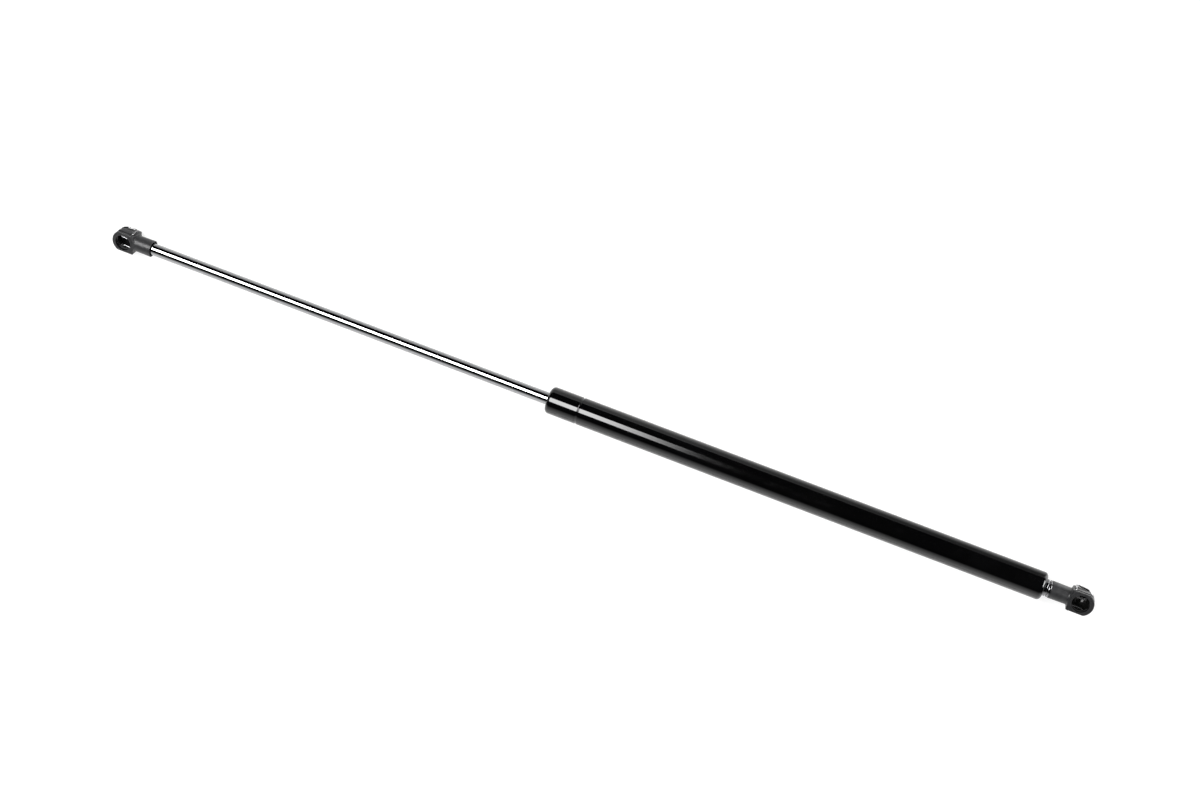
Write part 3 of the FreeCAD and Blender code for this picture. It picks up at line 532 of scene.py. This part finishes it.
class STRUT_OT_seal_package(PieceOperator, bpy.types.Operator):
    """Finishes what the crimp holds in the front of the tube"""

    bl_idname = "strut.seal_package"
    bl_label = "Seal Package"

    def finish(self, finish):
        finish_nodes(turned_steel(finish), "front_cap", "seal_support_ring")
        finish_nodes(nitrile_rubber(finish), "rod_seal")
        finish_nodes(guide_acetal(finish), "rod_guide")
        bronze = turned_metal("sintered_bronze", tuple(finish.bronze_colour), 0.38,
                              finish.turning_pitch, 0.008 * MM)
        finish_nodes(bronze, "guide_bush")


class STRUT_OT_piston_package(PieceOperator, bpy.types.Operator):
    """Finishes the piston, its ring, the valve and the rebound buffer"""

    bl_idname = "strut.piston_package"
    bl_label = "Piston Package"

    def finish(self, finish):
        finish_nodes(turned_steel(finish),
                     "piston_front_washer", "piston_back_washer", "valve_disc")
        finish_nodes(guide_acetal(finish), "piston_ring")
        alloy = turned_metal("piston_alloy", tuple(finish.alloy_colour), 0.3,
                             finish.turning_pitch, 0.008 * MM)
        finish_nodes(alloy, "piston")
        rubber = soft_matter("buffer_rubber", tuple(finish.buffer_colour), 0.6,
                             0.25 * MM, 0.01 * MM)
        finish_nodes(rubber, "rebound_buffer")


# ---------------------------------------------------------------- stage


# The table reaches this far each way, and lies this far under the strut.
TABLE_REACH = 6.0
TABLE_GAP = 0.2 * MM

# The table's white, and the part of it that the camera sees lit; its own light makes up the rest,
# up to full white away from the strut.
TABLE_WHITE = 0.8
TABLE_LIT = 0.3
TABLE_LIGHT = 0.76
WHITE_FROM, WHITE_AT = 0.6, 1.8

# What the gloss on the pieces sees of the table: its own light there, its level behind the tube's
# rear end, beside the rod and on the far side, and the brighter patch beside the rear end. The
# lower levels on the near side are painted shade, and the patch is a painted pool of light; only
# reflections show them.
GLOSS_LIGHT = 0.1
REAR_LEVEL, ROD_LEVEL, FAR_LEVEL = 0.12, 0.45, 0.85
ROD_LEVEL_AT = 450 * MM
NEAR_EDGE, FAR_EDGE = -36 * MM, -4 * MM
PATCH_LIGHT = 2.0
PATCH_ENDS = 12 * MM, 20 * MM
PATCH_SIDES = -14 * MM, -8 * MM
PATCH_REACH = 60 * MM, 140 * MM

# Each light card: its centre, the point that it faces, its width along X and its height; and the
# shares of its width and of its height over which its light fades, from either side.
KEY_PLACE = (1.07, -0.66, 1.675), (1.07, 0.0, 0.0), 1.37, 1.08
KEY_FADES = (0.17, 0.03), (0.03, 0.03)
SIDE_PLACE = (-1.15, -0.78, 0.62), (0.0, 0.0, 0.0), 0.8, 1.3
SIDE_FADES = (0.06, 0.06), (0.06, 0.06)
WALL_PLACE = (0.33, 1.0, 0.7), (0.33, 0.0, 0.7), 3.4, 1.4
WALL_FADES = (0.02, 0.02), (0.02, 1.0)

FILL_LIGHT = 0.12
AIM_OFFSET = Vector((-7.1 * MM, -12.8 * MM, 0.0))
SENSOR_WIDTH = 36.0


def sheet_mesh(name, corners):
    """A flat sheet between four corners, worked out on a grid of two parameters from 0 to 1.

    A point is corner 0 plus u times the first side plus v times the last side.
    """
    origin, along, _, across = (np.array(corner, float) for corner in corners)
    steps = np.array([0.0, 1.0])
    u, v = np.meshgrid(steps, steps, indexing="ij")
    points = origin + u[..., None] * (along - origin) + v[..., None] * (across - origin)
    index = np.arange(u.size).reshape(u.shape)
    faces = np.stack([index[:-1, :-1], index[1:, :-1], index[1:, 1:], index[:-1, 1:]], -1)
    faces = faces.reshape(-1, 4)
    mesh = bpy.data.meshes.new(name)
    mesh.from_pydata(points.reshape(-1, 3).tolist(), [], faces.tolist())
    layer = mesh.uv_layers.new(name="across_the_sheet")
    grid = np.stack([u, v], -1).reshape(-1, 2)
    layer.data.foreach_set("uv", grid[faces.reshape(-1)].reshape(-1).astype(np.float32))
    sheet = bpy.data.objects.new(name, mesh)
    bpy.context.scene.collection.objects.link(sheet)
    return sheet


def facing_card(name, centre, target, width, height):
    """A card of the given size whose face looks at a target, with its width as near X as it can."""
    centre = Vector(centre)
    face = (Vector(target) - centre).normalized()
    along = Vector((1.0, 0.0, 0.0))
    side = (along - along.dot(face) * face).normalized() * (width / 2)
    rise = face.cross(side).normalized() * (height / 2)
    card = sheet_mesh(name, [
        centre - side - rise, centre + side - rise, centre + side + rise, centre - side + rise,
    ])
    card.visible_camera = False
    card.visible_shadow = False
    return card


def one_sided(tree, front):
    """A surface that shows on its front and is clear from behind."""
    back = add(tree, "ShaderNodeNewGeometry").outputs["Backfacing"]
    clear = add(tree, "ShaderNodeBsdfTransparent").outputs[0]
    return add(tree, "ShaderNodeMixShader", {0: back, 1: front, 2: clear}).outputs[0]


def glow(name, strength, width_fades, height_fades, way="SMOOTHSTEP"):
    """A softbox face: even light that fades towards its edges, over the given shares."""
    material = bpy.data.materials.new(name)
    material.use_nodes = True
    tree = material.node_tree
    tree.nodes.clear()
    parts = axis_parts(tree, add(tree, "ShaderNodeTexCoord").outputs["UV"])
    level = strength
    for part, fades in ((parts["X"], width_fades), (parts["Y"], height_fades)):
        for fade, side in zip(fades, (part, math_node(tree, "SUBTRACT", 1.0, part))):
            level = times(tree, remap(tree, side, 0.0, fade, 0.0, 1.0, way), level)
    lit = add(tree, "ShaderNodeEmission", {"Strength": level}).outputs[0]
    out = add(tree, "ShaderNodeOutputMaterial")
    tree.links.new(one_sided(tree, lit), out.inputs["Surface"])
    return material


def table_in_gloss(tree, where):
    """What gloss sees of the table: the share of its white, lowered as painted shade on the near
    side, and the patch of painted light as a mask.
    """
    place = axis_parts(tree, where)
    near_side = remap(tree, place["X"], 0.0, ROD_LEVEL_AT, REAR_LEVEL, ROD_LEVEL)
    far = remap(tree, place["Y"], NEAR_EDGE, FAR_EDGE, 0.0, 1.0)
    level = blend(tree, far, near_side, FAR_LEVEL)
    behind = remap(tree, place["X"], *PATCH_ENDS, 1.0, 0.0)
    beside = remap(tree, place["Y"], *PATCH_SIDES, 1.0, 0.0)
    reach = vector_math(tree, "LENGTH", where)["Value"]
    near = remap(tree, reach, *PATCH_REACH, 1.0, 0.0)
    return level, times(tree, near, times(tree, behind, beside))


def floor_material():
    """White table: a matt surface that takes the shadow, with enough own light to be white. Gloss
    sees it with painted shade on its near side and a painted patch of light beside the tube's rear
    end.
    """
    material, tree, shader, where = start_material("white_table")
    shader.inputs["Roughness"].default_value = 0.9
    shader.inputs["Specular IOR Level"].default_value = 0.0
    rays = add(tree, "ShaderNodeLightPath").outputs
    seen = math_node(tree, "MAXIMUM", rays["Is Camera Ray"], rays["Is Transmission Ray"])
    mirrored = rays["Is Glossy Ray"]
    # Gloss rays see painted shade and a painted patch of light here, not the even white.
    mirror_level, patch = table_in_gloss(tree, where)
    unseen = blend(tree, mirrored, TABLE_WHITE, times(tree, mirror_level, TABLE_WHITE))
    white = blend(tree, seen, unseen, TABLE_LIT)
    feed(tree, shader.inputs["Base Color"],
         add(tree, "ShaderNodeCombineColor", {0: white, 1: white, 2: white}).outputs[0])
    from_strut = vector_math(tree, "DISTANCE", where, CENTRE)["Value"]
    own = times(tree, seen, remap(tree, from_strut, WHITE_FROM, WHITE_AT, TABLE_LIGHT, 1.0))
    in_gloss = math_node(tree, "ADD", times(tree, mirror_level, GLOSS_LIGHT),
                         times(tree, patch, PATCH_LIGHT))
    light = add(tree, "ShaderNodeEmission", {
        "Strength": math_node(tree, "MAXIMUM", own, times(tree, mirrored, in_gloss)),
    })
    both = add(tree, "ShaderNodeAddShader", {0: shader.outputs[0], 1: light.outputs[0]})
    out = tree.nodes["Material Output"]
    tree.links.new(one_sided(tree, both.outputs[0]), out.inputs["Surface"])
    return material


def white_world():
    """White behind everything for the camera, and a dim room for the metal and the fill light."""
    world = bpy.data.worlds.new("studio")
    world.use_nodes = True
    tree = world.node_tree
    rays = add(tree, "ShaderNodeLightPath").outputs
    seen = math_node(tree, "MAXIMUM", rays["Is Camera Ray"], rays["Is Transmission Ray"])
    fill = times(tree, rays["Is Diffuse Ray"], FILL_LIGHT)
    level = math_node(tree, "MAXIMUM", seen, fill)
    background = tree.nodes["Background"]
    background.inputs["Color"].default_value = (1.0, 1.0, 1.0, 1.0)
    tree.links.new(level, background.inputs["Strength"])
    bpy.context.scene.world = world


def make_camera(studio):
    """The camera, aimed a little off the middle of the strut."""
    aim = CENTRE + AIM_OFFSET
    back = Vector((math.sin(studio.azimuth) * math.cos(studio.elevation),
                   -math.cos(studio.azimuth) * math.cos(studio.elevation),
                   math.sin(studio.elevation)))
    data = bpy.data.cameras.new("camera")
    data.lens = studio.lens
    data.sensor_width = SENSOR_WIDTH
    camera = bpy.data.objects.new("camera", data)
    bpy.context.scene.collection.objects.link(camera)
    camera.rotation_mode = "QUATERNION"
    level = (-back).to_track_quat("-Z", "Y")
    camera.rotation_quaternion = level @ Quaternion((0.0, 0.0, 1.0), -studio.roll)
    camera.location = aim + back * studio.distance
    bpy.context.scene.camera = camera


class STRUT_OT_stage(bpy.types.Operator):
    """Sets up the white table, the softboxes and the camera"""

    bl_idname = "strut.stage"
    bl_label = "Stage"

    def execute(self, context):
        studio = context.scene.strut_studio
        context.scene.view_settings.view_transform = "Standard"
        white_world()
        height = CAD_LOW.z - TABLE_GAP
        left, right = CENTRE.x - TABLE_REACH, CENTRE.x + TABLE_REACH
        floor = sheet_mesh("table", [
            (left, -TABLE_REACH, height), (right, -TABLE_REACH, height),
            (right, TABLE_REACH, height), (left, TABLE_REACH, height),
        ])
        floor.data.materials.append(floor_material())
        key = facing_card("key_softbox", *KEY_PLACE)
        key.data.materials.append(glow("key_glow", studio.key_light, *KEY_FADES))
        side = facing_card("side_softbox", *SIDE_PLACE)
        side.data.materials.append(glow("side_glow", studio.side_light, *SIDE_FADES))
        wall = facing_card("white_card", *WALL_PLACE)
        wall.data.materials.append(glow("card_glow", studio.card_light, *WALL_FADES, "LINEAR"))
        make_camera(studio)
        return {"FINISHED"}


# ---------------------------------------------------------------- panel and registration

PIECE_OPERATORS = (
    STRUT_OT_pressure_tube,
    STRUT_OT_piston_rod,
    STRUT_OT_ball_sockets,
    STRUT_OT_socket_clips,
    STRUT_OT_threaded_stud,
    STRUT_OT_rear_closure,
    STRUT_OT_seal_package,
    STRUT_OT_piston_package,
)


class STRUT_PT_sidebar(bpy.types.Panel):
    """Lists the strut's finishes and its stage"""

    bl_idname = "STRUT_PT_sidebar"
    bl_label = "Gas Strut Stay"
    bl_space_type = "VIEW_3D"
    bl_region_type = "UI"
    bl_category = "Gas Strut"

    def draw(self, context):
        for operator in (*PIECE_OPERATORS, STRUT_OT_stage):
            self.layout.operator(operator.bl_idname)
        for settings in (context.scene.strut_finishes, context.scene.strut_studio):
            column = self.layout.column()
            for name in settings.__annotations__:
                column.prop(settings, name)


CLASSES = (StrutFinishes, StrutStudio, *PIECE_OPERATORS, STRUT_OT_stage, STRUT_PT_sidebar)


def register():
    """Registers the classes and hangs the settings on the scene."""
    for made in CLASSES:
        bpy.utils.register_class(made)
    bpy.types.Scene.strut_finishes = PointerProperty(type=StrutFinishes)
    bpy.types.Scene.strut_studio = PointerProperty(type=StrutStudio)


def unregister():
    """Takes the settings and the classes away again."""
    del bpy.types.Scene.strut_studio
    del bpy.types.Scene.strut_finishes
    for made in reversed(CLASSES):
        bpy.utils.unregister_class(made)


def main():
    """Registers the settings, finishes every piece and sets up the stage."""
    register()
    for operator in PIECE_OPERATORS:
        getattr(bpy.ops.strut, operator.bl_idname.split(".")[1])()
    bpy.ops.strut.stage()


if __name__ == "__main__":
    main()
